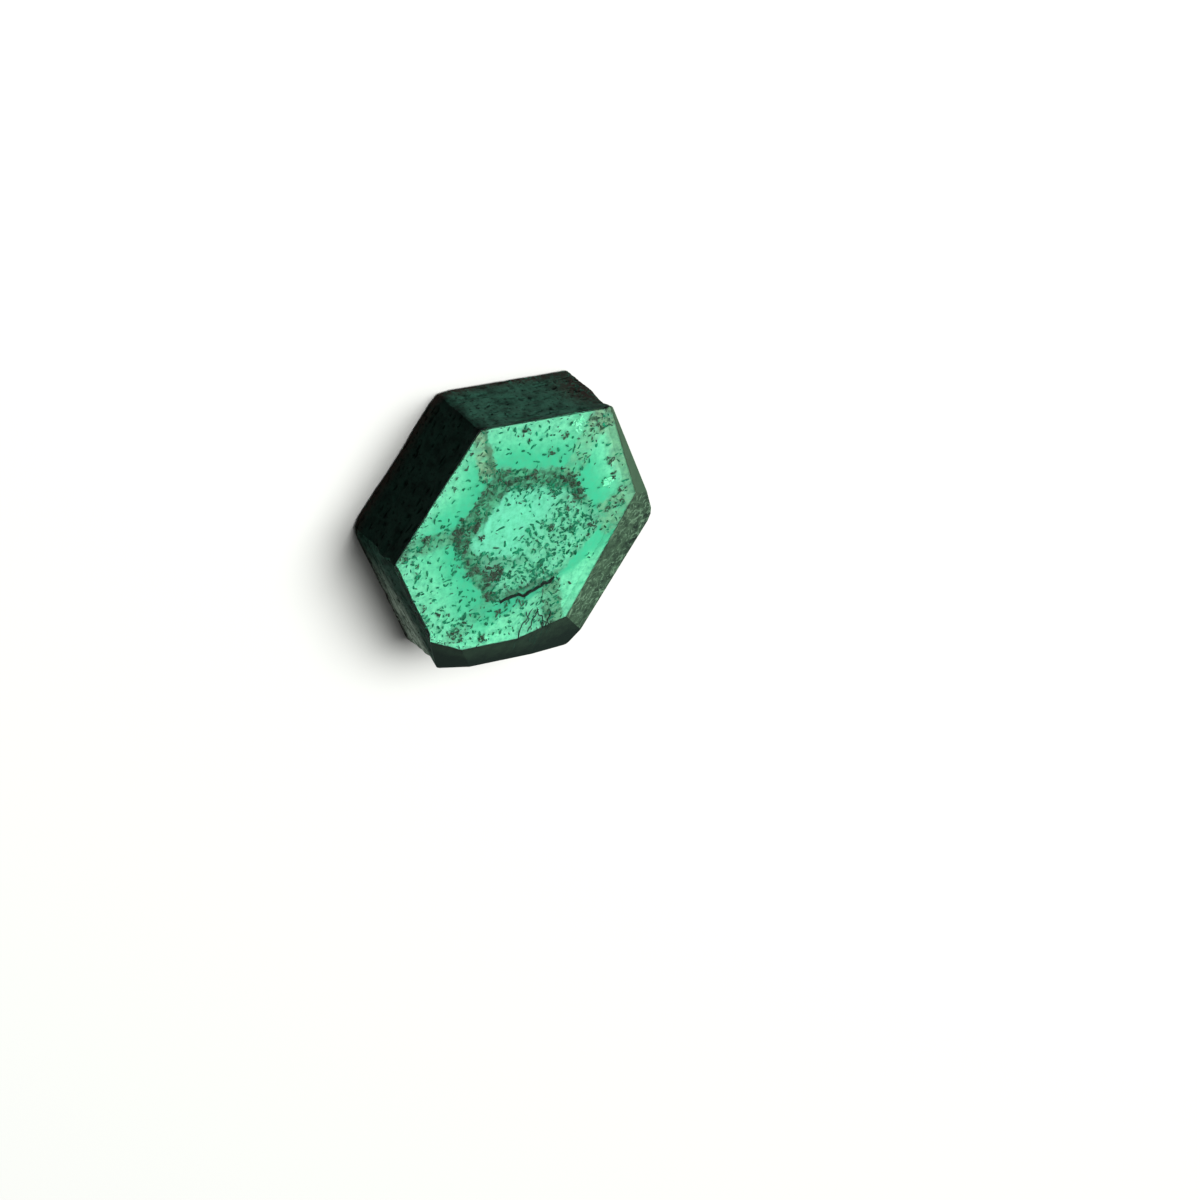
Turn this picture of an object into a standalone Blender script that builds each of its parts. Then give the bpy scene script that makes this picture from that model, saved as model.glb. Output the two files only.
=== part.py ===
# Trapiche emerald: a six-sided slice of a beryl crystal, with dark matrix grown into it.
# It lies on its flat back, with the polished table up. The origin is the middle of the resting face,
# +Z is up, and two corners of the hexagon lie along X. The mesh is built in millimetres and is
# brought to metres at the end.
import math
import random

import bmesh
import bpy
from mathutils import Vector, noise

METRES_PER_MM = 0.001

# The crystal, in millimetres
CORNER_TO_CORNER = 8.0
THICKNESS = 2.06
# How far each prism face grew past, or stopped short of, a regular hexagon. The key is the compass
# direction in which the face looks, in degrees from +X.
FACE_GROWTH = {90: 0.07, 30: -0.08, -30: -0.01, -90: 0.07, -150: -0.10, 150: 0.01}

# Matt facets ground along the edge of the table: the direction each one looks, how far from the
# middle it leaves the table, and its slope down from the table
GROUND_FACETS = (
    (-25.4, 2.33, 18.0),
    (-90.3, 2.73, 24.0),
    (-75.5, 2.65, 20.0),
    (24.4, 3.10, 22.0),
    (-113.5, 3.13, 35.0),
)

# Wear of the upright edges: the one at this corner is rubbed rounder than the other five
ROUNDED_CORNER = 0.0
ROUNDED_WEAR = 0.24
SHARP_WEAR = 0.08
WEAR_STEPS = 2
BASE_CHAMFER = 0.05

# The lattice that carries the relief of the prism faces
COLUMNS = 150
ROWS = 13
SNAP = 0.02

# Relief of the prism faces: (count on each face, half length, half height, depth), low to high
TERRACES = (5, (0.45, 1.20), (0.16, 0.42), (0.020, 0.045))
PITS = (16, (0.12, 0.26), (0.08, 0.11), (0.030, 0.070))
SWELL_SIZE = 1.4
SWELL_HEIGHT = 0.020
# Shell-shaped chips on the upright edges: few and deep, but many and shallow at the broken corner
CHIPS_ON_EDGE = 3
CHIPS_ON_BROKEN_EDGE = 7
BROKEN_CORNER = 60.0
CHIP_REACH = (0.20, 0.38)
CHIP_DEPTH = (0.03, 0.08)
BROKEN_CHIP_DEPTH = (0.00, 0.03)
# The relief dies out this far below the table, so that the table keeps its crisp outline
TABLE_MARGIN = 0.30
RELIEF_SEED = 41

EMERALD_GREEN = (0.12, 0.62, 0.42, 1.0)
EMERALD_ROUGHNESS = 0.12
EMERALD_IOR = 1.577
EMERALD_TRANSMISSION = 0.5


def clear_scene():
    for old in list(bpy.data.objects):
        bpy.data.objects.remove(old, do_unlink=True)


def direction(degrees):
    angle = math.radians(degrees)
    return Vector((math.cos(angle), math.sin(angle), 0.0))


def face_distance(compass):
    """How far a prism face stands from the middle of the crystal."""
    regular = CORNER_TO_CORNER / 2 * math.cos(math.radians(30))
    return regular + FACE_GROWTH[compass]


def corner_between(compass_a, compass_b):
    """The point where two neighbouring prism faces meet, on the ground plane."""
    a = direction(compass_a)
    b = direction(compass_b)
    distance_a = face_distance(compass_a)
    distance_b = face_distance(compass_b)
    cross = a.x * b.y - a.y * b.x
    x = (distance_a * b.y - distance_b * a.y) / cross
    y = (distance_b * a.x - distance_a * b.x) / cross
    return Vector((x, y, 0.0))


def is_level(face):
    return abs(face.normal.z) > 0.999


def grow_prism(bm):
    """A six-sided outline, pulled up to the thickness of the slice."""
    compass = sorted(FACE_GROWTH)
    outline = []
    for here, after in zip(compass, compass[1:] + compass[:1]):
        outline.append(bm.verts.new(corner_between(here, after)))
    base = bm.faces.new(outline)
    raised = bmesh.ops.extrude_face_region(bm, geom=[base])["geom"]
    tops = [item for item in raised if isinstance(item, bmesh.types.BMVert)]
    bmesh.ops.translate(bm, verts=tops, vec=(0.0, 0.0, THICKNESS))
    bmesh.ops.recalc_face_normals(bm, faces=bm.faces[:])


def is_near_corner(point, corner):
    """True where a point, seen from above, lies towards one corner of the hexagon."""
    turn = math.degrees(math.atan2(point.y, point.x)) - corner
    return abs((turn + 180.0) % 360.0 - 180.0) < 20.0


def is_upright(edge):
    """True for an edge that runs the height of a prism face."""
    return abs(edge.verts[0].co.z - edge.verts[1].co.z) > THICKNESS / 2


def wear_edges(bm):
    """Round the six upright edges, then break the edge of the resting face."""
    upright = [e for e in bm.edges if is_upright(e)]
    rounded = [e for e in upright if is_near_corner(e.verts[0].co, ROUNDED_CORNER)]
    sharp = [e for e in upright if e not in rounded]
    for edges, wear in ((rounded, ROUNDED_WEAR), (sharp, SHARP_WEAR)):
        bmesh.ops.bevel(bm, geom=edges, offset=wear, segments=WEAR_STEPS, profile=0.5,
                        affect="EDGES", material=-1)
    rim = [e for e in bm.edges if max(v.co.z for v in e.verts) < SNAP]
    bmesh.ops.bevel(bm, geom=rim, offset=BASE_CHAMFER, segments=1, profile=0.5,
                    affect="EDGES", material=-1)


def grind_facet(bm, compass, distance, slope):
    """Cut one flat facet away from the table and close the cut."""
    out = direction(compass)
    lean = math.radians(slope)
    normal = out * math.sin(lean) + Vector((0.0, 0.0, math.cos(lean)))
    start = out * distance + Vector((0.0, 0.0, THICKNESS))
    geometry = bm.verts[:] + bm.edges[:] + bm.faces[:]
    cut = bmesh.ops.bisect_plane(bm, geom=geometry, dist=SNAP / 10, plane_co=start,
                                 plane_no=normal, clear_outer=True)
    lip = [item for item in cut["geom_cut"] if isinstance(item, bmesh.types.BMEdge)]
    bmesh.ops.contextual_create(bm, geom=lip)
    bm.normal_update()


def lay_lattice(bm):
    """Slice the walls into columns with planes through the axis, then into rows between the rims."""
    for step in range(COLUMNS // 2):
        angle = math.pi * (step + 0.5) / (COLUMNS // 2)
        walls = [f for f in bm.faces if not is_level(f)]
        edges = {e for f in walls for e in f.edges}
        verts = {v for f in walls for v in f.verts}
        bmesh.ops.bisect_plane(bm, geom=walls + list(edges) + list(verts), dist=SNAP,
                               plane_co=(0.0, 0.0, 0.0), plane_no=(-math.sin(angle), math.cos(angle), 0.0))
        bm.normal_update()
    tall = [e for e in bm.edges if is_upright(e)]
    bmesh.ops.subdivide_edges(bm, edges=tall, cuts=ROWS - 1, use_grid_fill=True)


def facet_height(point):
    """The height of the table or of the ground facets over a point of the plan."""
    height = THICKNESS
    for compass, distance, slope in GROUND_FACETS:
        past = direction(compass).dot(Vector((point.x, point.y, 0.0))) - distance
        height = min(height, THICKNESS - past * math.tan(math.radians(slope)))
    return height


def scatter_hollows(rng, kind):
    """Shallow hollows, long along the face, for each of the six prism faces."""
    count, half_length, half_height, depth = kind
    side = CORNER_TO_CORNER / 2
    hollows = []
    for compass in FACE_GROWTH:
        for _ in range(count):
            hollows.append((compass, rng.uniform(-side, side) / 2, rng.uniform(0.05, 0.95) * THICKNESS,
                            rng.uniform(*half_length), rng.uniform(*half_height), rng.uniform(*depth)))
    return hollows


def scatter_chips(rng):
    """Shell-shaped chips along the six upright edges."""
    compass = sorted(FACE_GROWTH)
    chips = []
    for here, after in zip(compass, compass[1:] + compass[:1]):
        corner = corner_between(here, after)
        count, depth = CHIPS_ON_EDGE, CHIP_DEPTH
        if is_near_corner(corner, BROKEN_CORNER):
            count, depth = CHIPS_ON_BROKEN_EDGE, BROKEN_CHIP_DEPTH
        for _ in range(count):
            centre = corner + Vector((0.0, 0.0, rng.uniform(0.0, THICKNESS)))
            chips.append((centre, rng.uniform(*CHIP_REACH), rng.uniform(*depth)))
    return chips


def plateau(offset, half_size):
    """1 in the middle of a hollow, falling smoothly to 0 at its rim."""
    near = min(1.0, abs(offset) / half_size)
    return 1.0 - near * near * near


def relief_depth(point, hollows, chips):
    """How far the skin of the crystal lies below its ideal flat face, at a point of a wall."""
    swell = SWELL_HEIGHT * max(0.0, noise.noise(point / SWELL_SIZE) + 0.6)
    hollow = 0.0
    for compass, along, up, half_length, half_height, depth in hollows:
        out = direction(compass)
        if out.dot(point) < face_distance(compass) - SHARP_WEAR:
            continue
        across = -out.y * point.x + out.x * point.y
        inside = plateau(across - along, half_length) * plateau(point.z - up, half_height)
        hollow = max(hollow, depth * inside)
    chip = 0.0
    for centre, reach, depth in chips:
        chip = max(chip, depth * plateau((point - centre).length, reach))
    return swell + hollow + chip


def carve_relief(bm):
    """Push the skin of the prism faces in, and leave the table and its facets as they were ground."""
    rng = random.Random(RELIEF_SEED)
    hollows = scatter_hollows(rng, TERRACES) + scatter_hollows(rng, PITS)
    chips = scatter_chips(rng)
    bm.normal_update()
    moves = {}
    for vert in bm.verts:
        below_table = facet_height(vert.co) - vert.co.z
        if below_table < SNAP:
            continue
        fade = min(1.0, below_table / TABLE_MARGIN)
        inward = -Vector((vert.normal.x, vert.normal.y, 0.0)).normalized()
        moves[vert] = inward * fade * relief_depth(vert.co.copy(), hollows, chips)
    for vert, move in moves.items():
        vert.co += move


def fan_level_faces(bm):
    """Give the table and the resting face a middle point, so that no thin slivers are left."""
    bm.normal_update()
    bmesh.ops.poke(bm, faces=[f for f in bm.faces if is_level(f) and len(f.verts) > 4])
    bmesh.ops.triangulate(bm, faces=bm.faces[:])


def emerald_material():
    material = bpy.data.materials.new("emerald_with_matrix")
    material.use_nodes = True
    shader = material.node_tree.nodes["Principled BSDF"]
    shader.inputs["Base Color"].default_value = EMERALD_GREEN
    shader.inputs["Roughness"].default_value = EMERALD_ROUGHNESS
    shader.inputs["Metallic"].default_value = 0.0
    shader.inputs["IOR"].default_value = EMERALD_IOR
    shader.inputs["Transmission Weight"].default_value = EMERALD_TRANSMISSION
    return material


def centre_on_base(bm):
    """Put the origin under the middle of the crystal's box, on the resting face."""
    xs = [v.co.x for v in bm.verts]
    ys = [v.co.y for v in bm.verts]
    zs = [v.co.z for v in bm.verts]
    middle = Vector(((min(xs) + max(xs)) / 2, (min(ys) + max(ys)) / 2, min(zs)))
    bmesh.ops.translate(bm, verts=bm.verts[:], vec=-middle)


def make_emerald():
    bm = bmesh.new()
    grow_prism(bm)
    wear_edges(bm)
    for compass, distance, slope in GROUND_FACETS:
        grind_facet(bm, compass, distance, slope)
    lay_lattice(bm)
    carve_relief(bm)
    fan_level_faces(bm)
    centre_on_base(bm)
    bmesh.ops.scale(bm, verts=bm.verts[:], vec=(METRES_PER_MM,) * 3)
    bmesh.ops.recalc_face_normals(bm, faces=bm.faces[:])
    mesh = bpy.data.meshes.new("trapiche_emerald")
    bm.to_mesh(mesh)
    bm.free()
    mesh.materials.append(emerald_material())
    emerald = bpy.data.objects.new("trapiche_emerald", mesh)
    bpy.context.scene.collection.objects.link(emerald)
    return emerald


clear_scene()
make_emerald()
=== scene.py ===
# %% [markdown]
# # A trapiche emerald slice
# The object is one small crystal of beryl, about eight millimetres from corner to corner. It was cut
# across the prism and polished on one face, so the eye looks down through a clear skin into milky green
# crystal. While it grew, dark matrix was trapped inside: a hexagonal ring round the core, spokes that
# run from the core's corners to the crystal's corners, and thousands of flecks. This lesson dresses the
# bare solid from the outside in: the skin first, then the milk under it, then the flecks and cracks.

# %% Load the frame
import math
import random

import bmesh
import bpy
import numpy as np
from mathutils import Euler, Matrix, Quaternion, Vector, noise
from mathutils.bvhtree import BVHTree
from mathutils.kdtree import KDTree


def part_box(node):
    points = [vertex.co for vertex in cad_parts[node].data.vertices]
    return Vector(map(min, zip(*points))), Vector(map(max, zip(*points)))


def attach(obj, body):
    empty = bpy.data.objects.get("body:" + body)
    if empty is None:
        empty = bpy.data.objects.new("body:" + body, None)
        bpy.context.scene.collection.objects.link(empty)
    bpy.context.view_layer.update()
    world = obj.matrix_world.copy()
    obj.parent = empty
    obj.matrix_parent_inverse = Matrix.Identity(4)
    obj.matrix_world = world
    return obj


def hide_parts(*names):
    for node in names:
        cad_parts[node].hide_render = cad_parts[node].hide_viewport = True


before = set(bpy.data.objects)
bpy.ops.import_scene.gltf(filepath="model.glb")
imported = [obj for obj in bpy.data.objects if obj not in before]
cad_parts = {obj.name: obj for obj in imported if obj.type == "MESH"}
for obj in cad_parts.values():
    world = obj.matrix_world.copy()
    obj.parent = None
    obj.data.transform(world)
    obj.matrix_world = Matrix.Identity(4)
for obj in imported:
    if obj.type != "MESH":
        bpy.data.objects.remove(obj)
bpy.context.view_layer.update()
CRYSTAL = "trapiche_emerald"
MM = 0.001
low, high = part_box(CRYSTAL)
TABLE_HEIGHT = high.z / MM
print("crystal, mm:", [round(side / MM, 2) for side in high - low])

# %% [markdown]
# ## Helpers for colour and nodes
# Colours are easiest to read as the hex values of a paint program, but the shaders want linear light,
# so one function turns the first into the second. A second one adds a node, sets it up and links it in
# one call, so that a pattern reads like a recipe. A third mixes two colours, and a fourth makes a
# smooth slope between two values, which is the usual way to turn a distance into a mask.

# %% Colour and node helpers
def linear(hex_colour, alpha=1.0):
    """An sRGB hex colour as linear light, ready for a socket."""
    channels = [int(hex_colour[i:i + 2], 16) / 255 for i in (1, 3, 5)]
    light = [c / 12.92 if c <= 0.04045 else ((c + 0.055) / 1.055) ** 2.4 for c in channels]
    return (*light, alpha)


def add(tree, kind, values=None, **settings):
    """Add a node, with its settings, and a value or a link for each socket named in values."""
    node = tree.nodes.new(kind)
    for name, setting in settings.items():
        setattr(node, name, setting)
    for socket, value in (values or {}).items():
        if isinstance(value, bpy.types.NodeSocket):
            tree.links.new(value, node.inputs[socket])
        else:
            node.inputs[socket].default_value = value
    return node


def math_node(tree, operation, *values):
    """The result of one sum on numbers or sockets."""
    return add(tree, "ShaderNodeMath", dict(enumerate(values)), operation=operation).outputs[0]


def blend(tree, factor, first, second):
    """The colour between two; each is a hex colour or a socket."""
    pair = [linear(c) if isinstance(c, str) else c for c in (first, second)]
    mix = add(tree, "ShaderNodeMix", {"Factor": factor, "A": pair[0], "B": pair[1]}, data_type="RGBA")
    return mix.outputs["Result"]


def ramp(tree, value, start, end):
    """0 up to start, 1 from end on, and a smooth slope between; start may be the larger."""
    if start < end:
        slope = {"Value": value, 1: start, 2: end}
    else:
        slope = {"Value": value, 1: end, 2: start, 3: 1.0, 4: 0.0}
    return add(tree, "ShaderNodeMapRange", slope, interpolation_type="SMOOTHSTEP").outputs[0]


def grain(tree, place, per_mm, detail=4.0, roughness=0.6):
    """Cloudy noise with about this many lumps in a millimetre."""
    values = {"Vector": place, "Scale": per_mm, "Detail": detail, "Roughness": roughness}
    return add(tree, "ShaderNodeTexNoise", values).outputs["Fac"]


def new_material(name):
    """A node material, its tree and shader, and the place on the piece in millimetres."""
    material = bpy.data.materials.new(name)
    material.use_nodes = True
    tree = material.node_tree
    object_place = add(tree, "ShaderNodeTexCoord").outputs["Object"]
    place = add(tree, "ShaderNodeMapping", {"Vector": object_place, "Scale": (1 / MM,) * 3}).outputs[0]
    return material, tree, tree.nodes["Principled BSDF"], place


# %% [markdown]
# ## The camera
# The stone lies on its back with the polished table up. The photograph looks at it from about 44
# degrees above the table and is turned on its side, so the camera rolls too. A long lens from a little
# over a hundred millimetres away gives the weak perspective of a close-up photograph.

# %% Camera
LENS_MM = 138.0
SENSOR_MM = 36.0
AIM = Vector((2.449, -2.082, 2.06)) * MM
VIEW_COMPASS = 137.48
VIEW_ELEVATION = 43.70
VIEW_ROLL = 131.43
VIEW_DISTANCE = 115.36 * MM


def compass_point(compass, elevation):
    """The direction towards a compass angle and a height above the floor, both in degrees."""
    level = math.cos(math.radians(elevation))
    return Vector((math.cos(math.radians(compass)) * level,
                   math.sin(math.radians(compass)) * level,
                   math.sin(math.radians(elevation))))


back = compass_point(VIEW_COMPASS, VIEW_ELEVATION)
lens = bpy.data.cameras.new("close_up_camera")
lens.lens = LENS_MM
lens.sensor_width = SENSOR_MM
lens.clip_start = 1 * MM
camera = bpy.data.objects.new("close_up_camera", lens)
bpy.context.scene.collection.objects.link(camera)
camera.location = AIM + back * VIEW_DISTANCE
camera.rotation_mode = "QUATERNION"
camera.rotation_quaternion = Quaternion(back, math.radians(VIEW_ROLL)) @ back.to_track_quat("Z", "Y")
bpy.context.scene.camera = camera
print("camera distance, mm:", round(VIEW_DISTANCE / MM, 1))

# %% [markdown]
# ## Floor and light
# One soft lamp stands high over the side of the ground facets. From there it lights those facets and the
# broad face next to them and leaves the opposite faces dark. The polished table doesn't mirror it towards
# the camera, but seen from nearly straight above, part of the table mirrors it as a white patch. The room
# itself is dim and even. A bright room would be mirrored in the table as a grey veil, and this one leaves
# the green deep. The floor is a plain sheet of pale card.

# %% Floor and room
FLOOR_WIDTH = 1.2
FLOOR_DROP = 0.01 * MM
ROOM_BRIGHTNESS = 0.22
floor_mesh = bpy.data.meshes.new("pale_floor")
floor_bm = bmesh.new()
bmesh.ops.create_circle(floor_bm, cap_ends=True, segments=96, radius=FLOOR_WIDTH / 2)
bmesh.ops.translate(floor_bm, verts=floor_bm.verts[:], vec=(0.0, 0.0, -FLOOR_DROP))
floor_bm.to_mesh(floor_mesh)
floor_bm.free()
floor = bpy.data.objects.new("pale_floor", floor_mesh)
bpy.context.scene.collection.objects.link(floor)
floor_paint, tree, shader, place = new_material("matt_pale_card")
shader.inputs["Base Color"].default_value = linear("#b1b2af")
shader.inputs["Roughness"].default_value = 0.9
shader.inputs["Specular IOR Level"].default_value = 0.1
floor_mesh.materials.append(floor_paint)

room = bpy.data.worlds.new("dim_even_room")
room.use_nodes = True
room.node_tree.nodes["Background"].inputs["Color"].default_value = linear("#fbfdfc")
room.node_tree.nodes["Background"].inputs["Strength"].default_value = ROOM_BRIGHTNESS
bpy.context.scene.world = room
bpy.context.scene.view_settings.view_transform = "Standard"

# %% Lamp
LAMP_COMPASS = 48.0
LAMP_ELEVATION = 64.0
LAMP_DISTANCE = 0.30
LAMP_SIZE = 0.28
LAMP_WATTS = 2.60
lamp_data = bpy.data.lights.new("soft_lamp", "AREA")
lamp_data.shape = "DISK"
lamp_data.size = LAMP_SIZE
lamp_data.energy = LAMP_WATTS
lamp = bpy.data.objects.new("soft_lamp", lamp_data)
bpy.context.scene.collection.objects.link(lamp)
lamp.location = compass_point(LAMP_COMPASS, LAMP_ELEVATION) * LAMP_DISTANCE
lamp.rotation_euler = lamp.location.to_track_quat("Z", "Y").to_euler()
print("lamp at, mm:", [round(c / MM) for c in lamp.location])

# %% [markdown]
# ## The skin of the crystal
# Outside, the crystal has three kinds of surface. The table is sawn and polished, so it is flat and
# clear. The facets along part of its edge are ground and left matt. The six prism faces are as they
# grew: dark, finely striped and full of small long pits. The solid from the frame has the right shape
# but a coarse lattice, so a copy of it is refined where the crystal is natural, and fine relief is
# pressed into it. Pressing only inwards keeps the skin inside the solid.

# %% Copy the solid and sort its faces
WALL_TILT = 0.72
FLAT = 0.999
GROUND_SIDE = Vector((0.71, -0.71, 0.0))
# how pale each natural face and each ground facet is, by the direction that it looks in: partly
# the faces' own colour, partly painted light and shade that sets how bright each looks under this lamp
NATURAL_TONES_WITH_PAINTED_SHADING = {90: 0.50, 30: 0.40, -30: 0.50, -90: 0.70, -150: 0.50, 150: 0.10}
GROUND_TONES_WITH_PAINTED_SHADING = {-25: 0.45, -83: 0.08, 24: 0.68, -113: 0.02}


def merged_copy(node_name):
    """The frame's loose triangles as one closed bmesh, in millimetres."""
    copy = bmesh.new()
    copy.from_mesh(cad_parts[node_name].data)
    bmesh.ops.scale(copy, verts=copy.verts[:], vec=(1 / MM,) * 3)
    bmesh.ops.remove_doubles(copy, verts=copy.verts[:], dist=0.0005)
    copy.normal_update()
    return copy


def unit(degrees):
    """The level direction that a compass angle points in."""
    return compass_point(degrees, 0.0)


def tone_towards(tones, normal):
    """The tone of the face that looks most nearly the way of a normal."""
    return tones[max(tones, key=lambda compass: unit(compass).dot(normal))]


skin_bm = merged_copy(CRYSTAL)
wall_mask = skin_bm.faces.layers.float.new("wall")
ground_mask = skin_bm.faces.layers.float.new("ground")
tone_and_shading_mask = skin_bm.faces.layers.float.new("tone_and_shading")
pit_shade_mask = skin_bm.verts.layers.float.new("pit")
for face in skin_bm.faces:
    if WALL_TILT <= face.normal.z < FLAT and face.normal.dot(GROUND_SIDE) > 0.0:
        face[ground_mask] = 1.0
        face[tone_and_shading_mask] = tone_towards(GROUND_TONES_WITH_PAINTED_SHADING, face.normal)
    elif abs(face.normal.z) < FLAT:
        face[wall_mask] = 1.0
        face[tone_and_shading_mask] = tone_towards(NATURAL_TONES_WITH_PAINTED_SHADING, face.normal)
crystal_surface = BVHTree.FromBMesh(skin_bm)
wall_faces = [f for f in skin_bm.faces if f[wall_mask]]
print("natural faces:", len(wall_faces), "ground faces:", sum(1 for f in skin_bm.faces if f[ground_mask]))

# %% Refine the natural faces and find their rims
WALL_CUTS = 4
wall_edges = list({e for f in wall_faces for e in f.edges})
bmesh.ops.subdivide_edges(skin_bm, edges=wall_edges, cuts=WALL_CUTS, use_grid_fill=True)
bmesh.ops.triangulate(skin_bm, faces=[f for f in skin_bm.faces if len(f.verts) > 3])
skin_bm.normal_update()
natural = [v for v in skin_bm.verts if all(f[wall_mask] for f in v.link_faces)]
rim_verts = [v for v in skin_bm.verts if len({f[wall_mask] for f in v.link_faces}) > 1]
rim_tree = KDTree(len(rim_verts))
for number, vert in enumerate(rim_verts):
    rim_tree.insert(vert.co, number)
rim_tree.balance()
print("skin faces after refining:", len(skin_bm.faces))

# %% Press striations and pits into the natural faces
STRIPE_DEPTH = 0.014
GRAIN_DEPTH = 0.010
PITS_PER_FACE = 90
PIT_HALF_LENGTH = (0.04, 0.17)
PIT_HALF_HEIGHT = (0.018, 0.042)
PIT_DEPTH = (0.02, 0.05)
RIM_MARGIN = 0.10
SKIN_SEED = 7
FACE_COMPASS = tuple(NATURAL_TONES_WITH_PAINTED_SHADING)


def pit_depths(places, along, face):
    """Depth of the deepest pit at each place; the pits lie lengthwise along the prism face."""
    rng = random.Random(SKIN_SEED)
    depths = np.zeros(len(places))
    for number in range(len(FACE_COMPASS)):
        here = np.nonzero(face == number)[0]
        for _ in range(PITS_PER_FACE):
            offset = along[here] - rng.uniform(-2.1, 2.1)
            lift = places[here, 2] - rng.uniform(0.06, TABLE_HEIGHT - 0.06)
            across = offset / rng.uniform(*PIT_HALF_LENGTH)
            above = (lift - rng.uniform(-0.15, 0.15) * offset) / rng.uniform(*PIT_HALF_HEIGHT)
            bowl = np.clip(1.0 - (across ** 2 + above ** 2) ** 1.5, 0.0, 1.0)
            depths[here] = np.maximum(depths[here], rng.uniform(*PIT_DEPTH) * bowl)
    return depths


places = np.array([v.co for v in natural])
outward = np.array([unit(compass) for compass in FACE_COMPASS])
facing = (np.array([v.normal for v in natural]) @ outward.T).argmax(axis=1)
along = -outward[facing, 1] * places[:, 0] + outward[facing, 0] * places[:, 1]
# each point also keeps how deep its pit is, and the material paints the pits black by it: painted shade
for vert, depth, s, side in zip(natural, pit_depths(places, along, facing), along, facing):
    stripe = 0.5 + 0.5 * noise.noise(Vector((s * 0.8, vert.co.z * 16.0, side * 9.0)))
    lump = 0.5 + 0.5 * noise.noise(vert.co * 14.0)
    fade = min(1.0, rim_tree.find(vert.co)[2] / RIM_MARGIN)
    vert[pit_shade_mask] = depth / PIT_DEPTH[1]
    vert.co -= Vector(outward[side]) * fade * (depth + STRIPE_DEPTH * stripe + GRAIN_DEPTH * lump)

# %% Smooth the natural faces and keep the crystal's edges sharp
SHARP_ANGLE = math.radians(42.0)
skin_bm.normal_update()
for face in skin_bm.faces:
    face.smooth = face[wall_mask] > 0.5
for edge in skin_bm.edges:
    mixed = len({f[wall_mask] for f in edge.link_faces}) > 1
    edge.smooth = not mixed and edge.calc_face_angle(0.0) < SHARP_ANGLE
print("pits pressed:", PITS_PER_FACE * len(FACE_COMPASS))


def finish_piece(name, bm, material):
    """Bring a bmesh in millimetres to metres as a new piece that rides on the crystal's body."""
    bmesh.ops.scale(bm, verts=bm.verts[:], vec=(MM,) * 3)
    mesh = bpy.data.meshes.new(name)
    bm.to_mesh(mesh)
    bm.free()
    mesh.materials.append(material)
    piece = bpy.data.objects.new(name, mesh)
    bpy.context.scene.collection.objects.link(piece)
    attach(piece, "root")
    print(name, "triangles:", sum(len(p.vertices) - 2 for p in mesh.polygons))
    return piece


# %% [markdown]
# ## The material of the skin
# Beryl has an index of refraction of about 1.577. The table lets the light through. The ground facets
# are frosted, so they scatter white light over the dark crystal and look grey-green. The prism faces
# carry a dark rind of matrix. All three are one closed body of crystal, so they are one material, and
# the masks stored on the mesh steer its colour, roughness and clearness. The tone mask also paints light
# and shade: each face and facet is made paler or darker by the direction that it looks in. The
# absorption inside is one constant green, as it is in real emerald.

# %% Colours of the ground facets
skin_material, tree, shader, place = new_material("polished_beryl_with_frosted_facets_and_dark_rind")
wall = add(tree, "ShaderNodeAttribute", attribute_name="wall").outputs["Fac"]
ground = add(tree, "ShaderNodeAttribute", attribute_name="ground").outputs["Fac"]
tone_and_shading = add(tree, "ShaderNodeAttribute", attribute_name="tone_and_shading").outputs["Fac"]
pit = add(tree, "ShaderNodeAttribute", attribute_name="pit").outputs["Fac"]
height = add(tree, "ShaderNodeSeparateXYZ", {0: place}).outputs["Z"]

FROST_DARK = "#121c18"
FROST_PALE = "#364c3a"
FROST_STROKES = "#4e6953"
# long and short side of one grinding stroke in millimetres, and the way that it runs
STROKE_SIZE = (0.20, 0.09, 0.20)
STROKE_RUNS = (84.0, 30.0, -20.0)


def stroke_layer(tree, place, degrees):
    """Short worm-like strokes that all run much the same way."""
    turned = add(tree, "ShaderNodeMapping", {"Vector": place, "Rotation": (0.0, 0.0, math.radians(degrees)),
                                             "Scale": STROKE_SIZE}, vector_type="TEXTURE").outputs[0]
    bent = add(tree, "ShaderNodeTexNoise", {"Vector": turned, "Scale": 1.0, "Detail": 2.0, "Distortion": 0.4})
    return ramp(tree, bent.outputs["Fac"], 0.54, 0.72)


# only the facet that looks to -25 degrees was ground coarsely enough to show strokes
coarse = math_node(tree, "MULTIPLY", ramp(tree, tone_and_shading, 0.38, 0.44), ramp(tree, tone_and_shading, 0.60, 0.52))
frost_lumps = math_node(tree, "SUBTRACT", grain(tree, place, 4.5, 5.0, 0.65), 0.5)
frost_tone_and_shading = math_node(tree, "MULTIPLY", frost_lumps, math_node(tree, "MULTIPLY_ADD", coarse, 1.8, 0.5))
# each facet's tone, with its painted light and shade, sets how pale its frost is
frost_tone_and_shading = math_node(tree, "ADD", frost_tone_and_shading, tone_and_shading)
frost_fall = ramp(tree, height, TABLE_HEIGHT - 0.42, TABLE_HEIGHT - 0.05)
frost_tone_and_shading = math_node(tree, "ADD", frost_tone_and_shading, math_node(tree, "MULTIPLY_ADD", frost_fall, 0.26, -0.16))
frost = blend(tree, frost_tone_and_shading, FROST_DARK, FROST_PALE)
strokes = [stroke_layer(tree, place, degrees) for degrees in STROKE_RUNS]
strokes = math_node(tree, "MAXIMUM", math_node(tree, "MAXIMUM", strokes[0], strokes[1]), strokes[2])
strokes = math_node(tree, "MULTIPLY", strokes, ramp(tree, grain(tree, place, 1.3), 0.40, 0.58))
frost = blend(tree, math_node(tree, "MULTIPLY", strokes, coarse), frost, FROST_STROKES)

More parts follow.
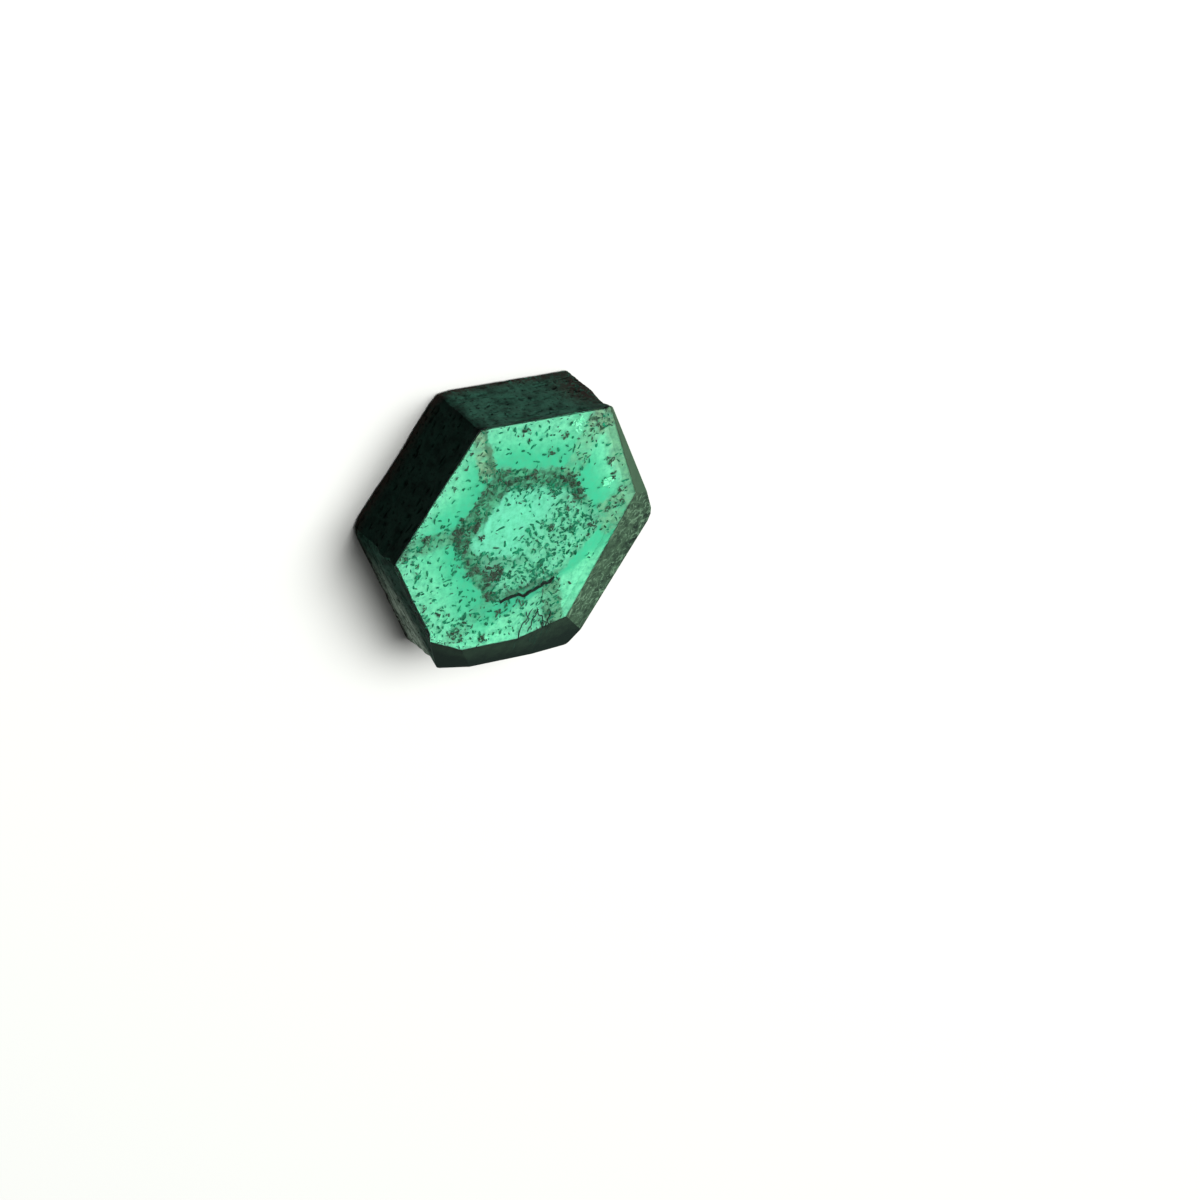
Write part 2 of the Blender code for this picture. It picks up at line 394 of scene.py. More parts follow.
# %% Colours of the natural faces
RIND_BLACK_AND_PIT_SHADE = "#020504"
RIND_GREEN = "#30594a"
RIND_GREY_AND_PAINTED_LIGHT = "#93a496"
RIND_BROWN = "#1d1714"
BROKEN_CORNER = (2.1, 3.55, 0.9)


def reach(tree, place, degrees):
    """How far a place lies from the middle of the crystal in one direction."""
    return add(tree, "ShaderNodeVectorMath", {0: place, 1: unit(degrees)}, operation="DOT_PRODUCT").outputs["Value"]


rind_lumps = ramp(tree, grain(tree, place, 3.5, 6.0, 0.7), 0.30, 0.62)
# each face's tone, with its painted light and shade, sets how far the rind goes from black to green
rind_tone_and_shading = math_node(tree, "MULTIPLY", tone_and_shading, math_node(tree, "MULTIPLY_ADD", rind_lumps, 0.75, 0.25))
rind_tone_and_shading = math_node(tree, "MULTIPLY", rind_tone_and_shading, ramp(tree, reach(tree, place, 120.0), 4.02, 3.84))
rind = blend(tree, rind_tone_and_shading, RIND_BLACK_AND_PIT_SHADE, RIND_GREEN)
# the face that looks to -150 degrees is rubbed grey, in stripes, on its lower two thirds; the grey is
# made pale enough to outweigh the lamp's shade on this face, so it is partly painted light
streaks = add(tree, "ShaderNodeMapping", {"Vector": place, "Scale": (1.4, 1.4, 9.0)}).outputs[0]
worn_and_painted_light = math_node(tree, "MULTIPLY", ramp(tree, reach(tree, place, -150.0), 2.95, 3.20), ramp(tree, height, 1.45, 0.80))
worn_and_painted_light = math_node(tree, "MULTIPLY", worn_and_painted_light, ramp(tree, grain(tree, streaks, 1.0, 5.0, 0.65), 0.30, 0.62))
worn_and_painted_light = math_node(tree, "MULTIPLY", worn_and_painted_light, ramp(tree, reach(tree, place, -60.0), -1.7, 0.8))
rind = blend(tree, worn_and_painted_light, rind, RIND_GREY_AND_PAINTED_LIGHT)
from_corner = add(tree, "ShaderNodeVectorMath", {0: place, 1: BROKEN_CORNER}, operation="DISTANCE").outputs["Value"]
brown = math_node(tree, "MAXIMUM", ramp(tree, from_corner, 1.5, 0.5), ramp(tree, height, 0.45, 0.05))
brown_specks = ramp(tree, grain(tree, place, 13.0, 4.0, 0.7), 0.60, 0.50)
rind = blend(tree, math_node(tree, "MULTIPLY", brown, brown_specks), rind, RIND_BROWN)
black_specks = ramp(tree, grain(tree, place, 12.0, 3.0), 0.58, 0.66)
rind = blend(tree, black_specks, rind, RIND_BLACK_AND_PIT_SHADE)
# the pits are painted black as well as pressed in: painted shade in the hollows
rind = blend(tree, pit, rind, RIND_BLACK_AND_PIT_SHADE)

# %% One shader for the whole skin
BERYL_IOR = 1.577
GREEN_PER_METRE = 250.0
CLEAR_BERYL = "#f2fff8"
skin_colour = blend(tree, wall, blend(tree, ground, CLEAR_BERYL, frost), rind)
matt = math_node(tree, "MAXIMUM", wall, ground)
clearness = math_node(tree, "SUBTRACT", 1.0, matt)
polish = add(tree, "ShaderNodeMapRange", {"Value": grain(tree, place, 2.0), 3: 0.01, 4: 0.06}).outputs[0]
roughness = add(tree, "ShaderNodeMapRange", {"Value": matt, 3: polish, 4: 0.60}).outputs[0]
bump = add(tree, "ShaderNodeBump", {"Height": grain(tree, place, 22.0), "Distance": 0.02 * MM,
                                    "Strength": math_node(tree, "MULTIPLY", matt, 0.45)})
tree.links.new(skin_colour, shader.inputs["Base Color"])
tree.links.new(clearness, shader.inputs["Transmission Weight"])
tree.links.new(roughness, shader.inputs["Roughness"])
tree.links.new(bump.outputs[0], shader.inputs["Normal"])
shader.inputs["IOR"].default_value = BERYL_IOR
shader.inputs["Specular IOR Level"].default_value = 0.01
absorb = add(tree, "ShaderNodeVolumeAbsorption", {"Color": linear("#7ff0c4"), "Density": GREEN_PER_METRE})
tree.links.new(absorb.outputs[0], tree.nodes["Material Output"].inputs["Volume"])

skin = finish_piece("crystal_skin", skin_bm, skin_material)
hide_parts(CRYSTAL)

# %% [markdown]
# ## The milky crystal under the skin
# A little way under the table the crystal turns milky, and the eye stops there. So the milk is a second
# closed body, the same shape as the crystal and slightly smaller all round. Where the table meets the
# ground facets the milk comes up to the edge: otherwise the eye would look past it into the dark.

# %% Body of milk
MILK_INSET = 0.09
MILK_BELOW_TABLE = 0.14
MILK_ABOVE_BASE = 0.12
LEAST_COVER = 0.088
RIM_WIDTH = 0.16
RIM_BELOW_TABLE = 0.03
milk_bm = merged_copy(CRYSTAL)
shrink = 1.0 - MILK_INSET / ((high.x - low.x) / MM / 2)
milk_height = TABLE_HEIGHT - MILK_BELOW_TABLE - MILK_ABOVE_BASE
bmesh.ops.scale(milk_bm, verts=milk_bm.verts[:], vec=(shrink, shrink, milk_height / TABLE_HEIGHT))
bmesh.ops.translate(milk_bm, verts=milk_bm.verts[:], vec=(0.0, 0.0, MILK_ABOVE_BASE))
milk_bm.normal_update()
plateau = [f for f in milk_bm.faces if f.normal.z > FLAT]
rim = bmesh.ops.inset_region(milk_bm, faces=plateau, thickness=RIM_WIDTH, use_even_offset=False)["faces"]
milk_bm.normal_update()
inner = {v for f in plateau for v in f.verts}
border = {v for f in rim for v in f.verts} - inner
# the inset turns the shortest edges over, so their ends are merged
bmesh.ops.remove_doubles(milk_bm, verts=[v for v in inner if any(f in rim for f in v.link_faces)], dist=0.1)
beside_facets = [v for v in border
                 if any(0.5 <= f.normal.z < FLAT and f.normal.dot(GROUND_SIDE) > 0.0 for f in v.link_faces)]
# where a chip bites into the crystal, the milk draws back sideways, deeper than the pits reach
for vert in [v for v in milk_bm.verts if v not in beside_facets]:
    nearest, normal = crystal_surface.find_nearest(vert.co)[:2]
    push = normal * max(0.0, LEAST_COVER - (nearest - vert.co).dot(normal))
    vert.co -= Vector((push.x, push.y, 0.0))
for vert in beside_facets:
    vert.co.x /= shrink * 1.002
    vert.co.y /= shrink * 1.002
    vert.co.z = TABLE_HEIGHT - RIM_BELOW_TABLE
print("milk, mm thick:", round(milk_height, 2), "rim points raised:", len(beside_facets))

# %% [markdown]
# ## The trapiche pattern
# The pattern is drawn with straight growth fronts. Each is a direction and a distance from the core's
# centre. The largest of the six distances beyond them is below zero inside the hexagon and grows
# outwards, which is all that is needed to draw the core, the ring and the sectors round it. In the
# real crystal the pattern goes right through the slice, so it is worked out from X and Y alone. A mark
# that lies under the clear skin seems shifted towards the eye, because the light bends at the table, so
# the pattern is laid a little further away, by about half the depth of the clear skin.

# %% Measures of the pattern, in millimetres
CORE_CENTRE = Vector((-0.075, 0.361, 0.0))
# direction in degrees, distance of the outer and of the inner border of the ring
CORE_FRONTS = ((81.0, 1.74, 1.25), (37.0, 1.72, 1.50), (-41.0, 1.77, 1.66),
               (-83.0, 1.70, 1.56), (-147.0, 1.82, 1.48), (145.0, 2.04, 1.42))
# spokes: start at the core's corner, end at the crystal's corner, width and strength
SPOKES = (((-1.50, 2.18), (-2.01, 3.45), 0.46, 0.95),
          ((0.98, 1.84), (1.60, 3.40), 0.60, 0.40),
          ((1.42, 2.95), (1.80, 3.45), 0.75, 0.85),
          ((2.10, 0.35), (3.20, 0.75), 1.00, 0.60),
          ((0.82, -1.28), (1.12, -2.50), 0.54, 1.00),
          ((-0.95, -1.45), (-2.20, -2.60), 0.45, 0.35),
          ((-2.28, 0.62), (-3.70, 0.45), 0.50, 0.75))
# darker stripes, laid over the rest: one border of the first spoke, and painted shade along the crack
STRIPES_AND_CRACK_SHADE = (((-1.36, 2.10), (-1.76, 3.40), 0.17, 0.85),
           ((-0.45, -1.46), (0.92, -1.02), 0.15, 0.75))
BEND = 0.51
AWAY = -unit(VIEW_COMPASS)


def under(x, y, depth):
    """Where a mark lies, this deep in the crystal, that is seen at a point of the table."""
    return Vector((x, y, 0.0)) + AWAY * BEND * depth


# %% Nodes that measure the pattern
def beyond_front(tree, place, degrees, distance):
    """How far a place lies beyond one straight growth front."""
    return math_node(tree, "SUBTRACT", reach(tree, place, degrees), CORE_CENTRE.dot(unit(degrees)) + distance)


def largest(tree, values):
    """The largest of several sockets."""
    top = values[0]
    for value in values[1:]:
        top = math_node(tree, "MAXIMUM", top, value)
    return top


def spoke_mask(tree, place, start, end, width, strength):
    """Up to strength along one spoke, from the core's corner outwards, with soft sides."""
    start, end = Vector((*start, 0.0)), Vector((*end, 0.0))
    run = (end - start).normalized()
    compass = math.degrees(math.atan2(run.y, run.x))
    side = unit(compass + 90.0)
    out = reach(tree, place, compass)
    off = math_node(tree, "ABSOLUTE", math_node(tree, "SUBTRACT", reach(tree, place, compass + 90.0), side.dot(start)))
    mask = math_node(tree, "MULTIPLY", ramp(tree, out, run.dot(start) - 0.12, run.dot(start) + 0.05),
                     ramp(tree, out, run.dot(end) + 0.30, run.dot(end) + 0.05))
    mask = math_node(tree, "MULTIPLY", mask, ramp(tree, off, width / 2 + 0.06, width / 2 - 0.07))
    return math_node(tree, "MULTIPLY", mask, strength)


# %% Masks of the milk: ring, spokes, core and clouds
milk_material, tree, shader, place = new_material("milky_beryl_with_trapiche_matrix")
seen_from = add(tree, "ShaderNodeVectorMath", {0: place, 1: under(0.0, 0.0, MILK_BELOW_TABLE)}, operation="SUBTRACT")
plan = add(tree, "ShaderNodeVectorMath", {0: seen_from.outputs[0], 1: (1.0, 1.0, 0.0)}, operation="MULTIPLY").outputs[0]
wobble = add(tree, "ShaderNodeTexNoise", {"Vector": plan, "Scale": 2.6, "Detail": 6.0, "Roughness": 0.72})
wobble = add(tree, "ShaderNodeVectorMath", {0: wobble.outputs["Color"], 1: (0.5, 0.5, 0.5)}, operation="SUBTRACT")
wobble = add(tree, "ShaderNodeVectorMath", {0: wobble.outputs[0], "Scale": 0.55}, operation="SCALE")
bent = add(tree, "ShaderNodeVectorMath", {0: plan, 1: wobble.outputs[0]}, operation="ADD").outputs[0]

outer = largest(tree, [beyond_front(tree, bent, front[0], front[1]) for front in CORE_FRONTS])
inner = largest(tree, [beyond_front(tree, bent, front[0], front[2]) for front in CORE_FRONTS])
in_core = ramp(tree, outer, 0.05, -0.05)
ring = math_node(tree, "MULTIPLY", in_core, ramp(tree, inner, -0.12, 0.05))
# the ring pales on the side that looks to -31 degrees
paling = math_node(tree, "MULTIPLY_ADD", ramp(tree, beyond_front(tree, bent, -31.0, 0.0), 0.85, 1.30), -0.6, 1.0)
ring = math_node(tree, "MULTIPLY", ring, paling)
ragged = math_node(tree, "MULTIPLY_ADD", ramp(tree, grain(tree, plan, 2.8, 5.0, 0.7), 0.36, 0.56), 0.6, 0.4)
spokes = largest(tree, [spoke_mask(tree, bent, *spoke) for spoke in SPOKES])
spokes = math_node(tree, "MULTIPLY", spokes, ragged)
stripes_and_crack_shade = largest(tree, [spoke_mask(tree, bent, *stripe) for stripe in STRIPES_AND_CRACK_SHADE])
clear_core = math_node(tree, "MULTIPLY", ramp(tree, beyond_front(tree, bent, -31.0, 0.0), 0.55, -0.10),
                       ramp(tree, beyond_front(tree, bent, -108.0, 0.0), 0.85, 0.70))
from_blotch = add(tree, "ShaderNodeVectorMath", {0: bent, 1: (-0.92, -0.62, 0.0)}, operation="DISTANCE").outputs["Value"]
haze = math_node(tree, "MULTIPLY", ramp(tree, beyond_front(tree, bent, -100.0, 0.62), 0.0, 0.12),
                 ramp(tree, beyond_front(tree, bent, -100.0, 0.90), 0.15, -0.15))
haze = math_node(tree, "MULTIPLY", haze, ramp(tree, reach(tree, bent, 0.0), 0.25, -0.35))
haze = math_node(tree, "MAXIMUM", haze, ramp(tree, from_blotch, 0.42, 0.12))
haze = math_node(tree, "MULTIPLY", math_node(tree, "MULTIPLY", haze, in_core), 0.6)
# the silt of the spokes is green at the low left and greyer towards the far right
greyer = ramp(tree, reach(tree, plan, 60.0), -0.2, 1.2)
clouds = grain(tree, plan, 0.9, 4.0)
reach_out = math_node(tree, "ADD", outer, math_node(tree, "MULTIPLY_ADD", clouds, 1.5, -0.75))
pale_rim = math_node(tree, "MAXIMUM", ramp(tree, reach_out, 0.15, 1.30),
                     ramp(tree, beyond_front(tree, bent, -62.0, 1.75), 0.0, 0.25))
right_rim = math_node(tree, "MULTIPLY", ramp(tree, beyond_front(tree, bent, 27.0, 2.55), 0.0, 0.35), 0.55)
# dots of matrix too deep to be told apart: thick in the core's far half, thinner in the low sectors
speckled = math_node(tree, "MAXIMUM", math_node(tree, "SUBTRACT", in_core, clear_core),
                     math_node(tree, "MULTIPLY", ramp(tree, beyond_front(tree, bent, -115.0, 0.9), 0.0, 0.4), 0.5))
soft_specks = math_node(tree, "MULTIPLY", ramp(tree, grain(tree, plan, 9.0, 2.0, 0.5), 0.56, 0.68), speckled)

# %% Colours of the milk
SECTOR_GREEN = "#4bcfa7"
SECTOR_PALE = "#90ebc7"
CORE_CLEAR = "#86e5c8"
CORE_GREEN = "#8ae0c0"
DEEP_SPECK = "#3fae88"
RING_GREEN = "#5fb892"
RING_DARK = "#41755c"
SILT_PALE = ("#74b592", "#a3c4a2")
SILT_DARK = ("#4d7f64", "#768f76")
STRIPE_AND_CRACK_SHADE_GREEN = "#547f66"
HAZE_GREY = "#5f9c80"
milk_tone = grain(tree, plan, 6.5, 5.0, 0.7)
silt_lumps = ramp(tree, grain(tree, plan, 5.5, 5.0, 0.65), 0.38, 0.60)
body = blend(tree, in_core, blend(tree, pale_rim, SECTOR_GREEN, SECTOR_PALE),
             blend(tree, clear_core, CORE_GREEN, CORE_CLEAR))
body = blend(tree, ramp(tree, milk_tone, 0.62, 0.26), body, "#5cc8a0")
body = blend(tree, soft_specks, body, DEEP_SPECK)
body = blend(tree, haze, body, HAZE_GREY)
pattern = blend(tree, ring, body, blend(tree, silt_lumps, RING_DARK, RING_GREEN))
silt = blend(tree, silt_lumps, blend(tree, greyer, *SILT_DARK), blend(tree, greyer, *SILT_PALE))
pattern = blend(tree, math_node(tree, "MAXIMUM", spokes, right_rim), pattern, silt)
# the second stripe is painted shade along the crack
pattern = blend(tree, stripes_and_crack_shade, pattern, STRIPE_AND_CRACK_SHADE_GREEN)
tree.links.new(pattern, shader.inputs["Base Color"])
shader.inputs["Roughness"].default_value = 0.9
shader.inputs["Specular IOR Level"].default_value = 0.0
milk = finish_piece("milky_crystal", milk_bm, milk_material)

# %% [markdown]
# ## Flecks of matrix
# The flecks float between the table and the milk, so they shift against the pattern when the stone is
# turned. Each is a small irregular chip, and the crowd follows the growth of the crystal: thick in the
# core's far half, where it lies in bands, and thin in the clear sectors. A few seed shapes are enough:
# copies are turned, stretched and scattered, and the copies are joined into one mesh.

# %% Seed shapes for the flecks
FLECK_SEED = 23
rng = random.Random(FLECK_SEED)


def chip_mesh(number):
    """One irregular chip about one millimetre wide, to be scaled down."""
    bm = bmesh.new()
    bmesh.ops.create_icosphere(bm, subdivisions=1, radius=0.5)
    for vert in bm.verts:
        vert.co *= rng.uniform(0.60, 1.15)
    if number % 3 == 0:
        lobe = bmesh.ops.create_icosphere(bm, subdivisions=1, radius=0.32)["verts"]
        bmesh.ops.translate(bm, verts=lobe, vec=unit(rng.uniform(0.0, 360.0)) * 0.5)
    mesh = bpy.data.meshes.new("chip_seed")
    bm.to_mesh(mesh)
    bm.free()
    return mesh


seeds = [chip_mesh(number) for number in range(8)]
print("fleck shapes:", len(seeds))

# %% How crowded the flecks are
# the sector in each direction, from no flecks (0) to a crowd (1)
SECTOR_FLECKS = {81: 0.12, 37: 0.10, -41: 0.03, -83: 0.32, -147: 0.28, 145: 0.11}


def beyond(point, degrees, distance=0.0):
    """How far a point lies beyond a growth front."""
    return (point - CORE_CENTRE).dot(unit(degrees)) - distance


def in_spoke(point):
    """Strength of the spoke that a point lies in, 0 outside all of them."""
    best = 0.0
    for start, end, width, strength in SPOKES:
        start, end = Vector((*start, 0.0)), Vector((*end, 0.0))
        run = end - start
        share = (point - start).dot(run) / run.length_squared
        if -0.1 < share < 1.3 and (point - start - run * share).length < width * 0.55:
            best = max(best, strength)
    return best


def crowd(point):
    """Chance that a fleck stays at a point of the plan."""
    clump = max(0.25, 0.9 + 0.9 * noise.noise(Vector((point.x * 1.7, point.y * 1.7, 3.0))))
    in_ring = max(beyond(point, front[0], front[2]) for front in CORE_FRONTS)
    out_of_core = max(beyond(point, front[0], front[1]) for front in CORE_FRONTS)
    if in_ring < 0.0:
        side = min(1.0, max(0.0, (beyond(point, -31.0) + 0.35) / 0.75))
        lower = min(1.0, max(0.0, (beyond(point, -108.0) - 0.60) / 0.25))
        top = min(1.0, max(0.0, (beyond(point, 81.0) - 0.70) / 0.4))
        bands = 0.75 + 0.25 * math.sin(beyond(point, -31.0) * 26.0)
        share = 0.10 + 0.90 * max(side * bands, 0.60 * lower, 0.8 * top)
    elif out_of_core < 0.0:
        share = 0.55
    else:
        sector = max(SECTOR_FLECKS, key=lambda compass: beyond(point, compass))
        share = max(SECTOR_FLECKS[sector], 0.45 * in_spoke(point))
    return share * clump


# %% Scatter the flecks
FLECK_MARGIN = 0.10


def surface_height(point):
    """Height of the crystal's upper surface over a point of the plan, or 0 outside it."""
    hit = crystal_surface.ray_cast(Vector((point.x, point.y, 9.0)), Vector((0, 0, -1)))[0]
    return hit.z if hit else 0.0


def is_inside(point, margin):
    """True where a point of the plan lies this far inside the prism faces."""
    return all(surface_height(point + unit(60.0 * turn) * margin) > 1.0 for turn in range(6))


def put_chip(bm, point, height, size, tilt=0.4):
    """Add one chip, its middle near a height, turned at random and kept between base and table."""
    turn = Euler((rng.uniform(-tilt, tilt), rng.uniform(-tilt, tilt), rng.uniform(0, math.tau)))
    stretch = Vector((rng.uniform(1.0, 2.3), rng.uniform(0.6, 1.0), rng.uniform(0.25, 0.45)))
    chip = seeds[rng.randrange(len(seeds))].copy()
    chip.transform(Matrix.LocRotScale(Vector((point.x, point.y, height)), turn, stretch * size))
    heights = [vert.co.z for vert in chip.vertices]
    lift = max(0.0, 0.01 - min(heights)) - max(0.0, max(heights) - TABLE_HEIGHT + 0.006)
    chip.transform(Matrix.Translation((0.0, 0.0, lift)))
    bm.from_mesh(chip)
    bpy.data.meshes.remove(chip)


def scatter(bm, count, depths, sizes, chance):
    """Add chips between two depths under the table or, below zero, over the base."""
    placed = 0
    while placed < count:
        seen = Vector((rng.uniform(-3.9, 3.9), rng.uniform(-3.5, 3.5), 0.0))
        depth = rng.uniform(*depths)
        if rng.random() > chance(seen):
            continue
        point = under(seen.x, seen.y, depth) if depth > 0.0 else seen
        if not is_inside(point, FLECK_MARGIN) or depth > 0.0 and surface_height(point) < TABLE_HEIGHT - 0.01:
            continue
        height = surface_height(point) - depth if depth > 0.0 else -depth
        put_chip(bm, point, height, rng.uniform(*sizes) * rng.uniform(0.6, 1.0))
        placed += 1


def fleck_material(name, dark, light):
    """Dull matrix, a little darker here and lighter there."""
    material, tree, shader, place = new_material(name)
    colour = blend(tree, ramp(tree, grain(tree, place, 3.0), 0.35, 0.65), dark, light)
    tree.links.new(colour, shader.inputs["Base Color"])
    shader.inputs["Roughness"].default_value = 0.7
    shader.inputs["Specular IOR Level"].default_value = 0.1
    return material


def grey_matrix(point):
    """Chance of a brown-grey fleck: the ring, the spokes and the milky rims."""
    in_ring = max(beyond(point, front[0], front[2]) for front in CORE_FRONTS)
    out_of_core = max(beyond(point, front[0], front[1]) for front in CORE_FRONTS)
    hosts_grey = in_ring > 0.0 and out_of_core < 0.0 and beyond(point, -31.0) < 1.0 or in_spoke(point) > 0.0
    return (1.0 if hosts_grey else 0.12) * crowd(point)


deep_matrix = fleck_material("matrix_fleck_deep_in_green_beryl", "#0a6b4e", "#159a72")
near_matrix = fleck_material("matrix_fleck_near_the_table", "#315944", "#4d7963")
flecks = bmesh.new()
scatter(flecks, 1250, (0.06, 0.13), (0.055, 0.12), crowd)
finish_piece("deep_flecks", flecks, deep_matrix)
flecks = bmesh.new()
scatter(flecks, 420, (0.025, 0.06), (0.05, 0.10), grey_matrix)
finish_piece("near_flecks", flecks, near_matrix)
flecks = bmesh.new()
scatter(flecks, 900, (-0.11, -0.03), (0.06, 0.13), crowd)
finish_piece("back_flecks", flecks, deep_matrix)

# %% Dark fringe where the rind meets the table
# the face along whose edge the flecks lie, and their number
FRINGE = ((150, 80), (-150, 80), (90, 24))


def edge_point(compass, along):
    """The upper edge of a prism face, this far along it from its middle."""
    start = unit(compass) * 9.0 + unit(compass + 90.0) * along + Vector((0.0, 0.0, TABLE_HEIGHT - 0.02))
    return crystal_surface.ray_cast(start, -unit(compass))[0]


flecks = bmesh.new()
for compass, count in FRINGE:
    for _ in range(count):
        rim = edge_point(compass, rng.uniform(-1.9, 1.9))
        spot = rim - unit(compass) * (0.055 + abs(rng.gauss(0.0, 0.05)))
        if is_inside(spot, 0.05):
            put_chip(flecks, spot, surface_height(spot) - rng.uniform(0.025, 0.06), rng.uniform(0.025, 0.045))
finish_piece("rind_fringe", flecks, fleck_material("rind_fringe_black_green", "#123528", "#215f4c"))

# %% [markdown]
# ## Clusters, crack and hairlines
# Some matrix sits in clusters that can be told apart: the brown blotch low in the core, the dots beside
# the strongest spoke, the specks along the right rim. One open crack follows the low side of the core,
# and a few hairlines run from it to the ground facet. A crack in a stone is a thin sheet, so each one is
# a closed ribbon that stands on edge in the crystal and thins out towards its ends.

# %% Clusters of matrix near the table
# where each cluster is seen on the table, its radius and its number of chips
CLUSTERS = ((-0.90, -0.66, 0.24, 62), (-1.16, -0.46, 0.13, 12), (-1.62, 0.74, 0.12, 16), (-1.42, 0.44, 0.08, 8),
            (-2.14, 0.58, 0.13, 12), (-3.08, 0.70, 0.20, 11), (-3.62, 0.28, 0.14, 8), (-3.22, -0.05, 0.04, 3),
            (2.08, 1.94, 0.15, 13), (2.28, 1.51, 0.07, 5), (2.60, 1.09, 0.09, 6), (1.33, 1.16, 0.20, 16),
            (1.12, 0.86, 0.14, 9), (0.29, 2.54, 0.16, 9), (0.62, 2.95, 0.11, 7), (1.48, 3.14, 0.22, 13),
            (0.64, 0.33, 0.07, 6), (1.86, 0.17, 0.15, 11), (1.78, -0.12, 0.07, 5), (2.45, 0.62, 0.30, 15),
            (-2.18, 2.49, 0.04, 3), (-2.40, 2.26, 0.03, 2), (-2.43, 1.99, 0.04, 3), (-2.10, 2.86, 0.05, 4),
            (-2.36, -1.57, 0.06, 4), (-2.12, -1.62, 0.06, 4), (-2.83, -1.28, 0.09, 5), (-0.62, -1.85, 0.10, 6),
            (-1.00, -2.50, 0.12, 7), (-1.75, -2.30, 0.22, 12), (0.05, -1.66, 0.12, 6), (-0.60, 3.10, 0.22, 8),
            (1.40, -1.39, 0.04, 2))
RING_CLUMPS = 46


def ring_clump():
    """A random small cluster somewhere in the ring."""
    while True:
        spot = CORE_CENTRE + Vector((rng.uniform(-2.2, 2.2), rng.uniform(-2.0, 2.0), 0.0))
        in_ring = max(beyond(spot, front[0], front[2]) for front in CORE_FRONTS)
        out_of_core = max(beyond(spot, front[0], front[1]) for front in CORE_FRONTS)
        if in_ring > 0.03 and out_of_core < 0.03 and beyond(spot, -31.0) < 1.0:
            return (spot.x, spot.y, rng.uniform(0.03, 0.08), rng.randrange(2, 7))


flecks = bmesh.new()
for x, y, radius, count in CLUSTERS + tuple(ring_clump() for _ in range(RING_CLUMPS)):
    for _ in range(count):
        spot = under(x, y, 0.05) + unit(rng.uniform(0.0, 360.0)) * radius * math.sqrt(rng.random())
        if is_inside(spot, 0.07):
            put_chip(flecks, spot, surface_height(spot) - rng.uniform(0.03, 0.08), rng.uniform(0.045, 0.09))
finish_piece("matrix_clusters", flecks, fleck_material("matrix_cluster_brown", "#33473a", "#48604f"))

# %% A ribbon that stands on edge in the crystal
def smooth_line(points, step, waver):
    """Points every step along a bent line, each pushed a little to the side."""
    line = []
    for first, second in zip(points, points[1:]):
        first, second = Vector((*first, 0.0)), Vector((*second, 0.0))
        parts = max(1, round((second - first).length / step))
        line += [first.lerp(second, part / parts) for part in range(parts)]
    line.append(Vector((*points[-1], 0.0)))
    return [p + Vector((noise.noise(p * 7.0), noise.noise(p * 7.0 + Vector((5, 5, 5))), 0.0)) * waver for p in line]


def add_ribbon(bm, points, width, depth, lean=0.0, waver=0.05):
    """A closed ribbon under a line seen on the table, from just under the surface down to a depth."""
    line = smooth_line(points, 0.05, waver)
    rings = []
    for number, point in enumerate(line):
        share = number / (len(line) - 1)
        taper = min(1.0, 6.0 * share + 0.25, 6.0 * (1.0 - share) + 0.25)
        thick = width * taper * (0.75 + 0.5 * noise.noise(point * 9.0)) / 2
        run = (line[min(number + 1, len(line) - 1)] - line[max(number - 1, 0)]).normalized()
        side = Vector((-run.y, run.x, 0.0))
        top = surface_height(point)
        cover = 0.006 if top > TABLE_HEIGHT - 0.01 else -0.003
        bottom = top - depth * (0.6 + 0.4 * taper)
        corners = [point + side * thick + Vector((0, 0, top - cover)),
                   point - side * thick + Vector((0, 0, top - cover)),
                   point + side * (lean - thick * 0.6) + Vector((0, 0, bottom)),
                   point + side * (lean + thick * 0.6) + Vector((0, 0, bottom))]
        rings.append([bm.verts.new(corner) for corner in corners])
    for first, second in zip(rings, rings[1:]):
        for corner in range(4):
            following = (corner + 1) % 4
            bm.faces.new((first[corner], first[following], second[following], second[corner]))
    bm.faces.new(rings[0][::-1])
    bm.faces.new(rings[-1])


